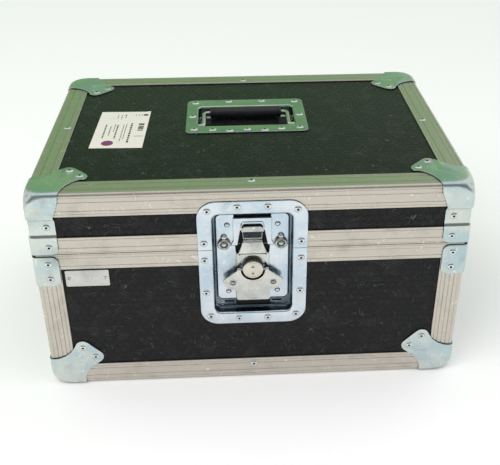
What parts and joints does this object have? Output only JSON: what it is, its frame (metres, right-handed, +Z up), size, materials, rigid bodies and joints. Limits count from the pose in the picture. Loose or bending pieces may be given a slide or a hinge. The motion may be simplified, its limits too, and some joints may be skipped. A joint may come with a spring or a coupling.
{
  "type": "flight case",
  "caption": "Flight case with aluminium edging, pressed steel corners, a recessed butterfly latch, a hinged lid and a recessed bail handle on top.",
  "frame": {"origin": "centre of the closed case's outline on the ground, under the corner caps", "axes": "+Z up, +X to the right seen from the latch side, -Y to the front where the latch is"},
  "size_m": [0.5036, 0.3584, 0.2736],
  "materials": {
    "panel": "black phenolic laminate on plywood, satin with a fine hexagon grain",
    "aluminium": "mill finish extrusion with fine lines along its length",
    "zinc": "bright zinc plated pressed steel, lightly clouded",
    "dish": "bright zinc plated pressed steel with a blue cast",
    "brass_zinc": "yellow passivated zinc",
    "grip": "matt black rubber sleeve",
    "foam": "dark grey foam",
    "nameplate": "plain satin plate"
  },
  "bodies": {
    "base": {"base_floor_panel": "panel", "base_front_panel": "panel", "base_back_panel": "panel", "base_left_panel": "panel", "base_right_panel": "panel", "base_bottom_edging_front": "aluminium", "base_bottom_edging_back": "aluminium", "base_bottom_edging_left": "aluminium", "base_bottom_edging_right": "aluminium", "base_corner_edging_front_left": "aluminium", "base_corner_edging_front_right": "aluminium", "base_corner_edging_back_left": "aluminium", "base_corner_edging_back_right": "aluminium", "base_rim_front": "aluminium", "base_rim_back": "aluminium", "base_rim_left": "aluminium", "base_rim_right": "aluminium", "base_corner_cap_front_left": "zinc", "base_corner_cap_front_right": "zinc", "base_corner_cap_back_left": "zinc", "base_corner_cap_back_right": "zinc", "base_corner_brace_front_left": "zinc", "base_corner_brace_front_right": "zinc", "base_corner_brace_back_left": "zinc", "base_corner_brace_back_right": "zinc", "latch_lower_dish": "dish", "name_plate": "nameplate", "hinge_base_leaf_left": "zinc", "hinge_base_leaf_right": "zinc", "hinge_pin_left": "zinc", "hinge_pin_right": "zinc", "base_foam": "foam"},
    "lid": {"lid_top_panel": "panel", "lid_front_panel": "panel", "lid_back_panel": "panel", "lid_left_panel": "panel", "lid_right_panel": "panel", "lid_top_edging_front": "aluminium", "lid_top_edging_back": "aluminium", "lid_top_edging_left": "aluminium", "lid_top_edging_right": "aluminium", "lid_rim_front": "aluminium", "lid_rim_back": "aluminium", "lid_rim_left": "aluminium", "lid_rim_right": "aluminium", "lid_corner_front_left": "zinc", "lid_corner_front_right": "zinc", "lid_corner_back_left": "zinc", "lid_corner_back_right": "zinc", "latch_upper_dish": "dish", "latch_keeper": "dish", "handle_dish": "dish", "hinge_lid_leaf_left": "zinc", "hinge_lid_leaf_right": "zinc", "lid_foam": "foam"},
    "cam": {"latch_cam": "brass_zinc"},
    "wing": {"latch_wing": "zinc"},
    "hook": {"latch_hook": "zinc"},
    "handle": {"handle_bail": "zinc", "handle_grip": "grip"}
  },
  "joints": [
    {"name": "lid_hinge", "type": "hinge", "parent": "base", "child": "lid", "pos_m": [0, 0.17605, 0.19395], "axis": [-1, 0, 0], "range_deg": [0, 105]},
    {"name": "cam_twist", "type": "hinge", "parent": "base", "child": "cam", "pos_m": [0, -0.17735, 0.1642], "axis": [0, -1, 0], "range_deg": [0, 180]},
    {"name": "wing_fold", "type": "hinge", "parent": "cam", "child": "wing", "pos_m": [0, -0.17515, 0.1642], "axis": [-1, 0, 0], "range_deg": [0, 90]},
    {"name": "hook_lift", "type": "slide", "parent": "base", "child": "hook", "axis": [0, 0, 1], "range_m": [0, 0.0075]},
    {"name": "handle_fold", "type": "hinge", "parent": "lid", "child": "handle", "pos_m": [0, 0.00545, 0.2663], "axis": [1, 0, 0], "range_deg": [0, 90]}
  ],
  "couplings": [
    {"joint": "hook_lift", "follows": "cam_twist", "m_per_rad": 0.0023872}
  ]
}
